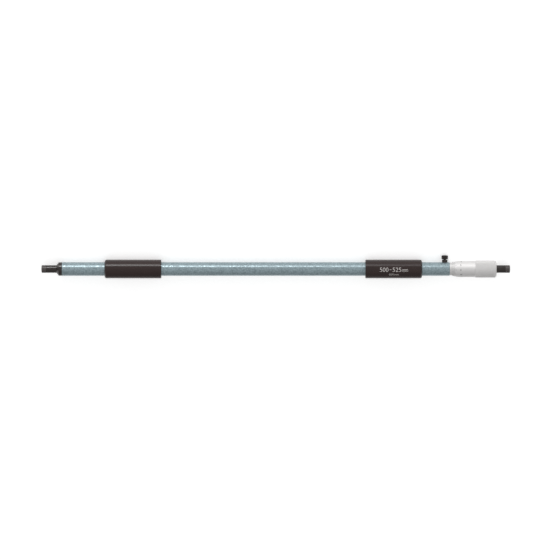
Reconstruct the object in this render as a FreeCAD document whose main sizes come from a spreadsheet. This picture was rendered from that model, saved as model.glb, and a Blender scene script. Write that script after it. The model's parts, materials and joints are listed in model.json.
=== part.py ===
import FreeCAD, Part
import math
import os
import re

import Sketcher

# Tubular inside micrometer, drawn at its zero reading.
#
# Along the instrument, x runs to the right: anvil at the left end, micrometer head at the right. Each turned piece
# is drawn about its own x axis, and each piece of the clamp about its own z axis, which points out of the tube.
# The instrument lies on its two grips and on the rim of the clamp knob, because it rolls until the knob stops it.
# The origin is under the middle of the whole, on the surface that it lies on.

# The sizes that are set by hand, in millimetres. Places along the instrument count from the left measuring face.
DRIVING = [
    # Anvil end
    ("anvil_reach", "16.1"),
    ("rod_radius", "4.1"),
    ("contact_length", "5.0"),
    ("contact_edge", "0.35"),
    ("crown_radius", "22.0"),
    ("contact_pin_radius", "2.0"),
    ("contact_pin_length", "4.5"),
    ("pin_hole_relief", "0.4"),
    ("anvil_shank_radius", "3.0"),
    ("anvil_shank_length", "14.0"),
    ("plug_nose_land", "0.15"),
    ("plug_cone_length", "2.5"),
    ("plug_rim_length", "3.4"),
    ("plug_spigot_length", "18.0"),
    # Tube and grips
    ("tube_radius", "7.25"),
    ("tube_wall", "1.75"),
    ("tube_length", "413.4"),
    ("tube_edge", "0.25"),
    ("grip_radius", "10.0"),
    ("grip_length", "60.3"),
    ("grip_outer_bevel", "1.2"),
    ("grip_inner_bevel", "0.5"),
    ("left_grip_inset", "45.65"),
    ("right_grip_inset", "29.55"),
    # Inner sleeve of the micrometer head, and its split nut
    ("head_spigot_length", "43.0"),
    ("barrel_radius", "5.9"),
    ("guide_land", "0.6"),
    ("relief_gap", "0.45"),
    ("nut_radius", "5.1"),
    ("nut_thread_length", "4.0"),
    ("nut_taper_length", "4.0"),
    ("nut_taper_drop", "0.4"),
    ("nut_nose_length", "0.8"),
    ("nut_bore_length", "12.0"),
    ("split_width", "0.7"),
    ("split_length", "12.3"),
    ("split_count", "4"),
    # Ring on the split nut
    ("adjuster_inset", "1.0"),
    ("adjuster_edge", "0.3"),
    ("adjuster_notch_width", "1.6"),
    ("adjuster_notch_depth", "1.2"),
    # Graduated sleeve
    ("sleeve_wall", "0.86"),
    ("sleeve_showing", "2.4"),
    ("sleeve_tail", "1.2"),
    ("sleeve_edge", "0.15"),
    ("spanner_hole_radius", "0.6"),
    ("spanner_hole_inset", "1.2"),
    # Spindle
    ("travel", "25.0"),
    ("journal_radius", "3.2"),
    ("journal_inset", "2.6"),
    ("spindle_edge", "0.4"),
    ("screw_radius", "3.45"),
    ("screw_start", "2.0"),
    ("undercut_radius", "3.0"),
    ("undercut_length", "1.0"),
    ("seat_radius", "3.2"),
    ("seat_taper", "0.05"),
    ("seat_setback", "0.6"),
    # Thimble
    ("thimble_length", "47.4"),
    ("thimble_lip", "0.35"),
    ("bevel_length", "6.9"),
    ("thimble_radius", "8.6"),
    ("knurl_start", "24.7"),
    ("knurl_lead", "0.5"),
    ("knurl_radius", "9.15"),
    ("end_bevel_length", "1.7"),
    ("end_bevel_drop", "1.1"),
    # Spindle tip
    ("tip_reach", "14.8"),
    ("stud_radius", "1.5"),
    ("stud_length", "8.0"),
    # Clamp
    ("clamp_inset", "5.2"),
    ("collar_radius", "3.0"),
    ("collar_seat_depth", "0.7"),
    ("collar_height", "2.65"),
    ("collar_edge", "0.3"),
    ("collar_shank_radius", "2.3"),
    ("collar_floor", "0.73"),
    ("clamp_shank_radius", "1.5"),
    ("shoe_radius", "1.2"),
    ("shoe_length", "2.65"),
    ("knob_radius", "3.5"),
    ("knob_lower_bevel", "0.6"),
    ("knob_height", "3.8"),
    ("knob_shoulder_drop", "0.4"),
    ("knob_shoulder_radius", "3.0"),
    ("knob_dome", "0.3"),
    ("knob_groove_depth", "0.22"),
    ("knob_groove_width", "0.44"),
    ("knob_groove_count", "28"),
    # Clearances, each on the radius or between two faces
    ("running_fit", "0.02"),
    ("screw_fit", "0.03"),
    ("press_fit", "0.01"),
    ("sleeve_fit", "0.02"),
    ("thimble_gap", "0.12"),
    ("adjuster_gap", "0.4"),
    ("nut_gap", "1.4"),
    ("shoe_gap", "0.15"),
    ("knob_gap", "0.4"),
    ("face_gap", "0.05"),
]

# The sizes and places that follow from them.
DERIVED = [
    ("tube_bore_radius", "=tube_radius - tube_wall"),
    ("spigot_radius", "=tube_bore_radius - press_fit"),
    ("tube_start", "=anvil_reach + plug_cone_length + plug_rim_length"),
    ("tube_end", "=tube_start + tube_length"),
    ("sleeve_bore_radius", "=barrel_radius + sleeve_fit"),
    ("sleeve_radius", "=sleeve_bore_radius + sleeve_wall"),
    ("sleeve_length", "=sleeve_showing + travel + sleeve_tail"),
    ("head_start", "=tube_end - head_spigot_length"),
    ("barrel_end", "=head_spigot_length + sleeve_length"),
    ("nut_thread_end", "=barrel_end + nut_thread_length"),
    ("nut_taper_end", "=nut_thread_end + nut_taper_length"),
    ("head_length", "=nut_taper_end + nut_nose_length"),
    ("nut_nose_radius", "=nut_radius - nut_taper_drop"),
    ("relief_bore_radius", "=screw_radius + relief_gap"),
    ("clamp_in_head", "=head_spigot_length - clamp_inset"),
    ("guide_length", "=clamp_in_head + shoe_radius + guide_land"),
    ("adjuster_start", "=head_start + barrel_end + adjuster_inset"),
    ("adjuster_thread_length", "=nut_thread_length - adjuster_inset"),
    ("adjuster_taper_end", "=adjuster_thread_length + nut_taper_length"),
    ("adjuster_length", "=adjuster_taper_end + nut_nose_length / 2"),
    ("thimble_bore_radius", "=sleeve_radius + thimble_gap"),
    ("adjuster_radius", "=thimble_bore_radius - adjuster_gap"),
    ("thimble_start", "=tube_end + sleeve_showing"),
    ("thimble_bore_depth", "=head_start + head_length + nut_gap - thimble_start"),
    ("web_thickness", "=thimble_length - thimble_bore_depth"),
    ("thimble_end", "=thimble_start + thimble_length"),
    ("seat_hole_radius", "=seat_radius + running_fit"),
    ("spindle_start", "=head_start + journal_inset"),
    ("journal_length", "=guide_length - journal_inset + screw_start"),
    ("seat_start", "=thimble_start + thimble_bore_depth - spindle_start"),
    ("screw_end", "=seat_start - undercut_length"),
    ("seat_end", "=seat_start + web_thickness - seat_setback"),
    ("seat_end_radius", "=seat_radius - seat_taper * (web_thickness - seat_setback)"),
    ("stud_hole_start", "=thimble_end - stud_length - pin_hole_relief - spindle_start"),
    ("measuring_length", "=thimble_end + tip_reach"),
    ("half_length", "=measuring_length / 2"),
    ("crown_drop", "=crown_radius - sqrt(crown_radius^2 - (rod_radius - contact_edge)^2)"),
    ("clamp_place", "=tube_end - clamp_inset"),
    ("clamp_in_tube", "=tube_length - clamp_inset"),
    ("collar_seat", "=tube_radius - collar_seat_depth"),
    ("collar_top", "=tube_radius + collar_height"),
    ("collar_foot", "=journal_radius + running_fit + collar_floor + face_gap"),
    ("shoe_foot", "=journal_radius + shoe_gap - shoe_radius / 2"),
    ("shoe_top", "=shoe_foot + shoe_length"),
    ("knob_underside", "=collar_top + knob_gap"),
    ("knob_rim", "=knob_underside + knob_height"),
    ("knob_shoulder", "=knob_rim + knob_shoulder_drop"),
    ("knob_reach", "=sqrt(knob_rim^2 + knob_radius^2)"),
    ("lie_angle", "=asin(min(1; grip_radius / knob_reach)) - atan(knob_radius / knob_rim)"),
    ("rim_overhang", "=knob_rim * cos(lie_angle) + knob_radius * sin(lie_angle)"),
    ("shoulder_overhang", "=knob_shoulder * cos(lie_angle) + knob_shoulder_radius * sin(lie_angle)"),
    ("overhang", "=max(rim_overhang; shoulder_overhang; grip_radius)"),
    ("axis_side", "=(grip_radius - overhang) / 2"),
]

ALIASES = {alias for alias, content in DRIVING + DERIVED}

document = FreeCAD.newDocument("inside_micrometer")
dims = document.addObject("Spreadsheet::Sheet", "dims")
for row, (alias, content) in enumerate(DRIVING + DERIVED, 1):
    dims.set("A%d" % row, alias)
    dims.set("B%d" % row, content)
    dims.setAlias("B%d" % row, alias)
document.recompute()


def size(formula):
    """The value of a formula of named sizes."""
    return float(dims.evalExpression(formula))


def bind(thing, name, formula):
    """Bind one property of a document object to a formula of named sizes."""
    looked_up = re.sub(r"[a-z_]+", lambda word: "dims." * (word.group() in ALIASES) + word.group(), formula)
    thing.setExpression(name, looked_up)


def new_body(label, place, flipped=False):
    """A body on the instrument's axis, its origin at a place along it, turned with the clamp or end for end."""
    body = document.addObject("PartDesign::Body", label)
    body.Label = label
    if flipped:
        turn = FreeCAD.Rotation(FreeCAD.Vector(0, 0, 1), 180)
        body.Placement = FreeCAD.Placement(FreeCAD.Vector(), turn)
    else:
        turn = FreeCAD.Rotation(FreeCAD.Vector(-1, 0, 0), 90 + size("lie_angle"))
        body.Placement = FreeCAD.Placement(FreeCAD.Vector(), turn)
        bind(body, "Placement.Rotation.Angle", "90deg + lie_angle")
    bind(body, "Placement.Base.x", place + " - half_length")
    bind(body, "Placement.Base.y", "axis_side")
    bind(body, "Placement.Base.z", "grip_radius")
    return body


def origin_part(body, role):
    """One of the body's own origin planes or axes."""
    return [feature for feature in body.Origin.OriginFeatures if feature.Role == role][0]


def new_sketch(body, name, plane, offset=None):
    """A sketch on one of the body's own planes, moved along the plane's normal by a formula."""
    sketch = body.newObject("Sketcher::SketchObject", name)
    sketch.AttachmentSupport = [(origin_part(body, plane), "")]
    sketch.MapMode = "FlatFace"
    if offset is not None:
        bind(sketch, "AttachmentOffset.Base.z", offset)
    return sketch


def hold(sketch, kind, edge, end, formula):
    """Hold one point of a sketch at a distance from its origin, or on the axis where that is nothing."""
    distance = size(formula)
    if formula == "0":
        axis = -2 if kind == "DistanceX" else -1
        sketch.addConstraint(Sketcher.Constraint("PointOnObject", edge, end, axis))
        return
    number = sketch.addConstraint(Sketcher.Constraint(kind, -1, 1, edge, end, distance))
    bind(sketch, "Constraints[%d]" % number, formula)


def outline(sketch, corners):
    """A closed outline in a sketch.

    Each corner is a pair of formulas. A third word, x or y, makes the edge that leaves it an arc, whose centre
    lies on that axis of the sketch.
    """
    places = [FreeCAD.Vector(size(corner[0]), size(corner[1]), 0) for corner in corners]
    ends = []
    for index, corner in enumerate(corners):
        first, second = places[index], places[(index + 1) % len(corners)]
        if len(corner) == 2:
            sketch.addGeometry(Part.LineSegment(first, second), False)
            ends.append((1, 2))
            continue
        axis = FreeCAD.Vector(1, 0, 0) if corner[2] == "x" else FreeCAD.Vector(0, 1, 0)
        reach = (first.Length ** 2 - second.Length ** 2) / (2 * (first - second).dot(axis))
        spokes = [first - axis * reach, second - axis * reach]
        angles = [math.atan2(spoke.y, spoke.x) for spoke in spokes]
        circle = Part.Circle(axis * reach, FreeCAD.Vector(0, 0, 1), spokes[0].Length)
        sketch.addGeometry(Part.ArcOfCircle(circle, min(angles), max(angles)), False)
        ends.append((1, 2) if angles[0] < angles[1] else (2, 1))
    for index, corner in enumerate(corners):
        after = (index + 1) % len(corners)
        sketch.addConstraint(Sketcher.Constraint("Coincident", index, ends[index][1], after, ends[after][0]))
        hold(sketch, "DistanceX", index, ends[index][0], corner[0])
        hold(sketch, "DistanceY", index, ends[index][0], corner[1])
        if len(corner) == 3:
            axis = -1 if corner[2] == "x" else -2
            sketch.addConstraint(Sketcher.Constraint("PointOnObject", index, 3, axis))


def turn_about_x(body, name, corners):
    """Turn a profile of (along the axis, radius) about the body's x axis."""
    sketch = new_sketch(body, name + "_profile", "XZ_Plane")
    outline(sketch, corners)
    feature = body.newObject("PartDesign::Revolution", name)
    feature.Profile = sketch
    feature.ReferenceAxis = (sketch, ["H_Axis"])
    feature.Angle = 360


def turn_about_z(body, name, corners):
    """Turn a profile of (radius, height) about the body's z axis."""
    sketch = new_sketch(body, name + "_profile", "XZ_Plane")
    outline(sketch, corners)
    feature = body.newObject("PartDesign::Revolution", name)
    feature.Profile = sketch
    feature.ReferenceAxis = (sketch, ["V_Axis"])
    feature.Angle = 360


def cut_away(body, name, sketch, along_normal):
    """Cut a sketch through everything on one side of its plane."""
    pocket = body.newObject("PartDesign::Pocket", name)
    pocket.Profile = sketch
    pocket.Type = "ThroughAll"
    pocket.Reversed = along_normal
    return pocket


def drill(body, name, plane, offset, centre, radius, along_normal=True):
    """Cut a round hole from a plane of the body outwards."""
    sketch = new_sketch(body, name + "_circle", plane, offset)
    middle = FreeCAD.Vector(size(centre[0]), size(centre[1]), 0)
    sketch.addGeometry(Part.Circle(middle, FreeCAD.Vector(0, 0, 1), size(radius)), False)
    number = sketch.addConstraint(Sketcher.Constraint("Radius", 0, size(radius)))
    bind(sketch, "Constraints[%d]" % number, radius)
    hold(sketch, "DistanceX", 0, 3, centre[0])
    hold(sketch, "DistanceY", 0, 3, centre[1])
    return cut_away(body, name, sketch, along_normal)


def repeat(body, name, feature, axis, count):
    """Repeat a cut evenly round one of the body's axes."""
    pattern = body.newObject("PartDesign::PolarPattern", name)
    pattern.Originals = [feature]
    pattern.Axis = (origin_part(body, axis), [""])
    pattern.Angle = 360
    bind(pattern, "Occurrences", count)
    body.Tip = pattern


def measuring_contact(label, place, flipped=False):
    """Hardened tip: a pin for the rod's hole and a head with a slightly domed measuring face."""
    body = new_body(label, place, flipped)
    full_length = "contact_pin_length + contact_length"
    turn_about_x(body, label + "_turned", [
        ("0", "0"),
        ("0", "contact_pin_radius"),
        ("contact_pin_length", "contact_pin_radius"),
        ("contact_pin_length", "rod_radius"),
        (full_length + " - crown_drop - contact_edge", "rod_radius"),
        (full_length + " - crown_drop", "rod_radius - contact_edge", "x"),
        (full_length, "0"),
    ])
    return body


def contact_rod(label, place, shank_radius, shank_length, rod_length, flipped=False):
    """Black rod with a threaded shank at one end and the hole for the measuring contact's pin at the other."""
    body = new_body(label, place, flipped)
    full_length = shank_length + " + " + rod_length
    hole_bottom = full_length + " - contact_pin_length - pin_hole_relief"
    hole_radius = "contact_pin_radius + press_fit"
    turn_about_x(body, label + "_turned", [
        ("0", "0"),
        ("0", shank_radius + " - press_fit"),
        (shank_length, shank_radius + " - press_fit"),
        (shank_length, "rod_radius"),
        (full_length, "rod_radius"),
        (full_length, hole_radius),
        (hole_bottom, hole_radius),
        (hole_bottom, "0"),
    ])
    return body


def end_plug():
    """Black cone and rim that closes the left end, with a spigot in the tube and a thread for the anvil."""
    body = new_body("end_plug", "anvil_reach")
    rim_end = "plug_cone_length + plug_rim_length"
    spigot_end = rim_end + " + plug_spigot_length"
    turn_about_x(body, "plug_turned", [
        ("0", "anvil_shank_radius"),
        ("0", "rod_radius + plug_nose_land"),
        ("plug_cone_length", "tube_radius"),
        (rim_end, "tube_radius"),
        (rim_end, "spigot_radius"),
        (spigot_end, "spigot_radius"),
        (spigot_end, "anvil_shank_radius"),
    ])
    return body


def tube():
    """The painted tube, with a flat-bottomed seat and a hole for the clamp's collar."""
    body = new_body("tube", "tube_start")
    turn_about_x(body, "tube_turned", [
        ("0", "tube_bore_radius"),
        ("0", "tube_radius - tube_edge"),
        ("tube_edge", "tube_radius"),
        ("tube_length - tube_edge", "tube_radius"),
        ("tube_length", "tube_radius - tube_edge"),
        ("tube_length", "tube_bore_radius"),
    ])
    drill(body, "collar_seat_face", "XY_Plane", "collar_seat", ("clamp_in_tube", "0"), "collar_radius + running_fit")
    drill(body, "collar_hole", "XY_Plane", None, ("clamp_in_tube", "0"), "collar_shank_radius + screw_fit")
    return body


def grip(label, place, flipped):
    """Heat-insulating sleeve, more bevelled at the end that is nearer the instrument's end."""
    body = new_body(label, place, flipped)
    turn_about_x(body, label + "_turned", [
        ("0", "tube_radius + press_fit"),
        ("0", "grip_radius - grip_outer_bevel"),
        ("grip_outer_bevel", "grip_radius"),
        ("grip_length - grip_inner_bevel", "grip_radius"),
        ("grip_length", "grip_radius - grip_inner_bevel"),
        ("grip_length", "tube_radius + press_fit"),
    ])
    return body


def head_body():
    """Inner sleeve of the micrometer head.

    The spigot fills the tube's end and guides the spindle. The barrel carries the graduated sleeve. Its far end is
    the nut: threaded inside, threaded and tapered outside, and split so that the ring can close it on the screw.
    """
    body = new_body("head_body", "head_start")
    turn_about_x(body, "head_turned", [
        ("0", "journal_radius + running_fit"),
        ("0", "spigot_radius"),
        ("head_spigot_length", "spigot_radius"),
        ("head_spigot_length", "barrel_radius"),
        ("barrel_end", "barrel_radius"),
        ("barrel_end", "nut_radius"),
        ("nut_thread_end", "nut_radius"),
        ("nut_taper_end", "nut_nose_radius"),
        ("head_length", "nut_nose_radius"),
        ("head_length", "screw_radius + screw_fit"),
        ("head_length - nut_bore_length", "screw_radius + screw_fit"),
        ("head_length - nut_bore_length", "relief_bore_radius"),
        ("guide_length", "relief_bore_radius"),
        ("guide_length", "journal_radius + running_fit"),
    ])
    collar_radius = "collar_shank_radius + screw_fit"
    drill(body, "collar_thread", "XY_Plane", "collar_foot - face_gap", ("clamp_in_head", "0"), collar_radius)
    drill(body, "shoe_hole", "XY_Plane", None, ("clamp_in_head", "0"), "shoe_radius + screw_fit")
    sketch = new_sketch(body, "split_slot", "YZ_Plane", "head_length - split_length")
    outline(sketch, [
        ("-split_width / 2", "0"),
        ("split_width / 2", "0"),
        ("split_width / 2", "barrel_radius + split_width"),
        ("-split_width / 2", "barrel_radius + split_width"),
    ])
    split = cut_away(body, "split", sketch, True)
    repeat(body, "splits", split, "X_Axis", "split_count")
    return body


def adjusting_nut():
    """Ring whose thread and taper close the split nut, with two notches in its end for a key."""
    body = new_body("adjusting_nut", "adjuster_start")
    turn_about_x(body, "ring_turned", [
        ("0", "nut_radius + screw_fit"),
        ("0", "adjuster_radius - adjuster_edge"),
        ("adjuster_edge", "adjuster_radius"),
        ("adjuster_length - adjuster_edge", "adjuster_radius"),
        ("adjuster_length", "adjuster_radius - adjuster_edge"),
        ("adjuster_length", "nut_nose_radius + screw_fit"),
        ("adjuster_taper_end", "nut_nose_radius + screw_fit"),
        ("adjuster_thread_length", "nut_radius + screw_fit"),
    ])
    sketch = new_sketch(body, "key_notch", "YZ_Plane", "adjuster_length - adjuster_notch_depth")
    outline(sketch, [
        ("-adjuster_notch_width / 2", "-2 * adjuster_radius"),
        ("adjuster_notch_width / 2", "-2 * adjuster_radius"),
        ("adjuster_notch_width / 2", "2 * adjuster_radius"),
        ("-adjuster_notch_width / 2", "2 * adjuster_radius"),
    ])
    cut_away(body, "key_notches", sketch, True)
    return body


def graduated_sleeve():
    """Thin outer sleeve that carries the scale, with a hole at the back for the spanner that sets its zero."""
    body = new_body("graduated_sleeve", "tube_end")
    turn_about_x(body, "sleeve_turned", [
        ("0", "sleeve_bore_radius"),
        ("0", "sleeve_radius - sleeve_edge"),
        ("sleeve_edge", "sleeve_radius"),
        ("sleeve_length - sleeve_edge", "sleeve_radius"),
        ("sleeve_length", "sleeve_radius - sleeve_edge"),
        ("sleeve_length", "sleeve_bore_radius"),
    ])
    drill(body, "spanner_hole", "XZ_Plane", None, ("spanner_hole_inset", "0"), "spanner_hole_radius", False)
    return body


def spindle():
    """Plain journal, screw, undercut and the taper that the thimble is pulled onto, drilled for the tip's stud."""
    body = new_body("spindle", "spindle_start")
    turn_about_x(body, "spindle_turned", [
        ("0", "0"),
        ("0", "journal_radius - spindle_edge"),
        ("spindle_edge", "journal_radius"),
        ("journal_length", "journal_radius"),
        ("journal_length", "screw_radius"),
        ("screw_end", "screw_radius"),
        ("screw_end", "undercut_radius"),
        ("seat_start", "undercut_radius"),
        ("seat_start", "seat_radius"),
        ("seat_end", "seat_end_radius"),
        ("seat_end", "stud_radius + screw_fit"),
        ("stud_hole_start", "stud_radius + screw_fit"),
        ("stud_hole_start", "0"),
    ])
    return body


def thimble():
    """Bevelled edge, plain band, knurled band and end bevel, with a web whose tapered hole sits on the spindle."""
    body = new_body("thimble", "thimble_start")
    turn_about_x(body, "thimble_turned", [
        ("0", "thimble_bore_radius"),
        ("0", "thimble_bore_radius + thimble_lip"),
        ("bevel_length", "thimble_radius"),
        ("knurl_start", "thimble_radius"),
        ("knurl_start + knurl_lead", "knurl_radius"),
        ("thimble_length - end_bevel_length", "knurl_radius"),
        ("thimble_length", "knurl_radius - end_bevel_drop"),
        ("thimble_length", "seat_hole_radius - seat_taper * web_thickness"),
        ("thimble_bore_depth", "seat_hole_radius"),
        ("thimble_bore_depth", "thimble_bore_radius"),
    ])
    return body


def clamp_collar():
    """Bush on the tube: its shank holds the head in the tube, and its bore is the clamp screw's thread."""
    body = new_body("clamp_collar", "clamp_place")
    bore_radius = "clamp_shank_radius + screw_fit"
    turn_about_z(body, "collar_turned", [
        (bore_radius, "collar_foot"),
        ("collar_shank_radius", "collar_foot"),
        ("collar_shank_radius", "collar_seat"),
        ("collar_radius", "collar_seat"),
        ("collar_radius", "collar_top - collar_edge"),
        ("collar_radius - collar_edge", "collar_top"),
        (bore_radius, "collar_top"),
    ])
    return body


def clamp_screw():
    """Thumb screw with a domed and straight-knurled knob."""
    body = new_body("clamp_screw", "clamp_place")
    turn_about_z(body, "screw_turned", [
        ("0", "shoe_top + face_gap"),
        ("clamp_shank_radius", "shoe_top + face_gap"),
        ("clamp_shank_radius", "knob_underside"),
        ("knob_radius - knob_lower_bevel", "knob_underside"),
        ("knob_radius", "knob_underside + knob_lower_bevel"),
        ("knob_radius", "knob_rim"),
        ("knob_shoulder_radius", "knob_shoulder", "y"),
        ("0", "knob_shoulder + knob_dome"),
    ])
    sketch = new_sketch(body, "knurl_groove", "XY_Plane", "knob_underside")
    outline(sketch, [
        ("knob_radius - knob_groove_depth", "0"),
        ("knob_radius + knob_groove_depth", "-knob_groove_width"),
        ("knob_radius + knob_groove_depth", "knob_groove_width"),
    ])
    groove = cut_away(body, "groove", sketch, True)
    repeat(body, "knurl", groove, "Z_Axis", "knob_groove_count")
    return body


def clamp_shoe():
    """Small plug that the screw presses on the spindle, hollowed to the spindle's curve."""
    body = new_body("clamp_shoe", "clamp_place")
    turn_about_z(body, "shoe_turned", [
        ("0", "shoe_foot"),
        ("shoe_radius", "shoe_foot"),
        ("shoe_radius", "shoe_top"),
        ("0", "shoe_top"),
    ])
    hollow = drill(body, "shoe_hollow", "YZ_Plane", None, ("0", "0"), "journal_radius + shoe_gap")
    hollow.Midplane = True
    return body


def check(bodies):
    """Stop if a feature failed, a shape isn't one valid solid, or a cut took nothing away."""
    for thing in document.Objects:
        if "Invalid" in thing.State or "Error" in thing.State:
            raise RuntimeError("%s: %s" % (thing.Label, thing.State))
        if thing.TypeId == "PartDesign::Pocket" and thing.Shape.Volume > thing.BaseFeature.Shape.Volume - 1e-3:
            raise RuntimeError("%s cuts nothing" % thing.Label)
        if thing.TypeId == "Sketcher::SketchObject" and thing.solve() != 0:
            raise RuntimeError("%s isn't solved" % thing.Label)
    for body in bodies:
        if body.Shape.isNull() or not body.Shape.isValid() or len(body.Shape.Solids) != 1:
            raise RuntimeError("%s isn't one valid solid" % body.Label)


def main():
    """Build every piece, check it and write it."""
    bodies = [
        measuring_contact("anvil_contact", "contact_length + contact_pin_length", True),
        contact_rod("anvil", "anvil_reach + anvil_shank_length", "anvil_shank_radius", "anvil_shank_length",
                    "anvil_reach - contact_length", True),
        end_plug(),
        tube(),
        grip("left_grip", "tube_start + left_grip_inset", False),
        grip("right_grip", "tube_end - right_grip_inset", True),
        head_body(),
        adjusting_nut(),
        graduated_sleeve(),
        spindle(),
        thimble(),
        contact_rod("spindle_tip", "thimble_end - stud_length", "stud_radius", "stud_length",
                    "tip_reach - contact_length"),
        measuring_contact("tip_contact", "measuring_length - contact_length - contact_pin_length"),
        clamp_collar(),
        clamp_screw(),
        clamp_shoe(),
    ]
    document.recompute()
    check(bodies)
    os.makedirs("parts", exist_ok=True)
    for body in bodies:
        body.Shape.exportStep("parts/%s.step" % body.Label)
        box = body.Shape.BoundBox
        print("%-17s %9.1f mm3   x %8.2f to %8.2f" % (body.Label, body.Shape.Volume, box.XMin, box.XMax))
    print("lie angle %.2f degrees, axis %.3f mm to the side" % (size("lie_angle"), size("axis_side")))


main()
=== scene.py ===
"""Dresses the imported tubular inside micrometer: its finishes, its graduations, its printing and its knurling.

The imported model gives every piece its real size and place, in metres, and stays as it is. This file adds
what a turned and assembled instrument gets afterwards: paint and plating, engraved lines and numbers,
printing, and the diamond knurl of the thimble.
"""

import functools
import json
import logging
import math
from collections.abc import Callable
from dataclasses import dataclass, field
from enum import Enum

import bmesh
import bpy
from mathutils import Matrix, Vector


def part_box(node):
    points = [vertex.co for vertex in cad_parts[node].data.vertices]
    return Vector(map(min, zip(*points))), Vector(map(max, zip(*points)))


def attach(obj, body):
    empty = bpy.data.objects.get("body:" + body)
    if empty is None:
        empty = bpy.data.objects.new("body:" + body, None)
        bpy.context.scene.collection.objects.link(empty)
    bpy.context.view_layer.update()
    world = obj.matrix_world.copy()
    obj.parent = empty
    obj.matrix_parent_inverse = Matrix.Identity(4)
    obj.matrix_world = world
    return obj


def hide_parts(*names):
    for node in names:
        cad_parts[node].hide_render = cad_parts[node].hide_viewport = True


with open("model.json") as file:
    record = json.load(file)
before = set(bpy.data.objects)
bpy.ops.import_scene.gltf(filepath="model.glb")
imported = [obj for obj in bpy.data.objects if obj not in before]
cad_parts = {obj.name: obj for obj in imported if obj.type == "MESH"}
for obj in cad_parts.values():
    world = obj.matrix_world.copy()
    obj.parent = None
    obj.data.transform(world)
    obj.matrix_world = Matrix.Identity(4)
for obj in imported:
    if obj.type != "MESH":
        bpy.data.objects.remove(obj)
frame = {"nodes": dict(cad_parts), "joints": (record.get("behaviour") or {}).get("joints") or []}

MM = 0.001
LOG = logging.getLogger("inside_micrometer")

Colour = tuple[float, float, float]
Span = tuple[float, float]
NOISE_SPAN: Span = (0.3, 0.7)


class Body(Enum):
    """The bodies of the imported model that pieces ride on."""

    FRAME = "frame"
    THIMBLE = "thimble_group"


class Slot(Enum):
    """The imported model's material slots."""

    HAMMERTONE = "hammertone"
    GRIP = "grip_plastic"
    BLACK = "black_oxide"
    CONTACT = "contact_steel"
    CHROME = "satin_chrome"
    STEEL = "ground_steel"
    BRASS = "brass"


class Reach(Enum):
    """How far along the bevel an engraved line runs."""

    SHORT = "short"
    LONG = "long"


@functools.lru_cache(maxsize=None)
def node_box(name: str) -> tuple[Vector, Vector]:
    """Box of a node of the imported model: its low corner and its high corner."""
    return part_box(name)


@dataclass(frozen=True)
class Axis:
    """The instrument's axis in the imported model, with the two directions square to it.

    Attributes:
        y: Place of the axis, in metres.
        z: Height of the axis, in metres.
        up: The way the clamp knob points.
        front: The way the printed side faces.
    """

    y: float
    z: float
    up: Vector
    front: Vector

    @classmethod
    def from_frame(cls) -> "Axis":
        """Find the axis from the tube's box and from the clamp's joint.

        Returns:
            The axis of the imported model.
        """
        low, high = node_box("tube")
        lift = next(joint for joint in frame["joints"] if joint["name"] == "clamp_lift")
        up = Vector(lift["axis"]).normalized()
        front = Vector((1, 0, 0)).cross(up)
        return cls((low.y + high.y) / 2, (low.z + high.z) / 2, up, front)

    def point(self, x: float, angle: float, radius: float) -> Vector:
        """Place a point round the axis.

        Args:
            x: Place along the instrument, in metres.
            angle: Turn from the printed side towards the clamp knob, in radians.
            radius: Distance from the axis, in metres.

        Returns:
            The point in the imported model's frame.
        """
        spoke = self.front * math.cos(angle) + self.up * math.sin(angle)
        return Vector((x, self.y, self.z)) + spoke * radius


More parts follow.
